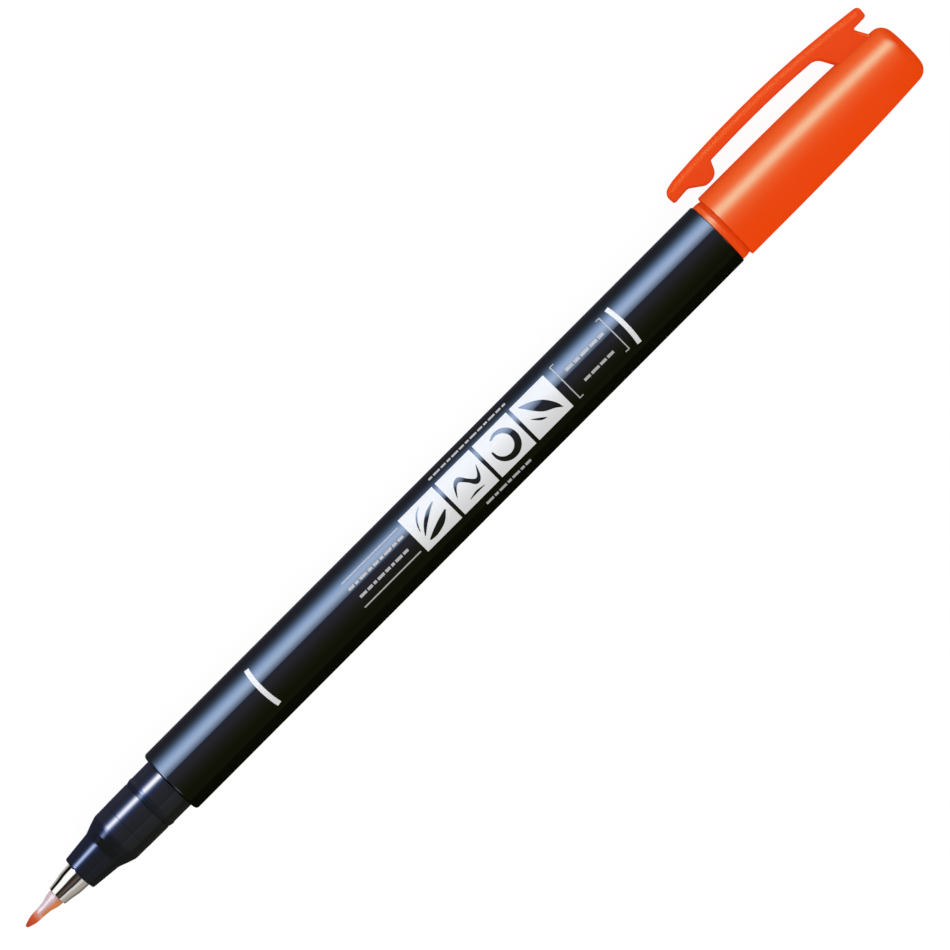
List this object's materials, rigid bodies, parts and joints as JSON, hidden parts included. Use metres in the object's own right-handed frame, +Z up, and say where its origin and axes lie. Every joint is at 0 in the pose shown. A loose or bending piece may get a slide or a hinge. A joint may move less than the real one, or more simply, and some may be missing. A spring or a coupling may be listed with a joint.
{
  "type": "brush pen",
  "caption": "Slim felt-tip brush pen with a flexible nib, a bright ferrule, a fibre ink store and a clip cap pushed onto its tail.",
  "frame": {"origin": "on the pen's axis, halfway along the barrel", "axes": "+X along the pen towards the nib, +Z up from the desk the pen lies on; the clip leans down towards -Y and touches the desk"},
  "size_m": [0.1525, 0.0136, 0.0096],
  "materials": {
    "barrel_plastic": "high gloss",
    "section_plastic": "gloss",
    "ferrule_chrome": "bright chrome",
    "nib_felt": "ink-stained felt point on a pale, slightly translucent base",
    "wick_fibre": "bonded fibre",
    "ink_fibre": "ink-soaked fibre",
    "store_film": "clear film",
    "plug_plastic": "gloss",
    "cap_plastic": "high gloss",
    "clip_plastic": "high gloss",
    "inner_cap_plastic": "satin, natural polyethylene"
  },
  "bodies": {
    "pen": {"barrel": "barrel_plastic", "grip_section": "section_plastic", "ferrule": "ferrule_chrome", "relay_wick": "wick_fibre", "reservoir_core": "ink_fibre", "reservoir_film": "store_film", "tail_plug": "plug_plastic"},
    "nib": {"nib": "nib_felt"},
    "inner_cap": {"inner_cap": "inner_cap_plastic"},
    "cap": {"cap_shell": "cap_plastic"},
    "clip": {"clip": "clip_plastic"}
  },
  "joints": [
    {"name": "nib_flex", "type": "hinge", "parent": "pen", "child": "nib", "pos_m": [0.0671, 0, 0], "axis": [0, 1, 0], "range_deg": [-12, 12], "stiffness_Nm_per_rad": 0.02, "deforming": ["nib"]},
    {"name": "cap_slide", "type": "slide", "parent": "pen", "child": "inner_cap", "axis": [-1, 0, 0], "range_m": [0, 0.014]},
    {"name": "cap_twist", "type": "hinge", "parent": "inner_cap", "child": "cap", "pos_m": [-0.0488, 0, 0], "axis": [1, 0, 0], "continuous": true},
    {"name": "clip_flex", "type": "hinge", "parent": "cap", "child": "clip", "pos_m": [-0.0712, -0.00788, -0.00311], "axis": [0, 0.3674, -0.9301], "range_deg": [0, 5], "stiffness_Nm_per_rad": 0.9}
  ]
}
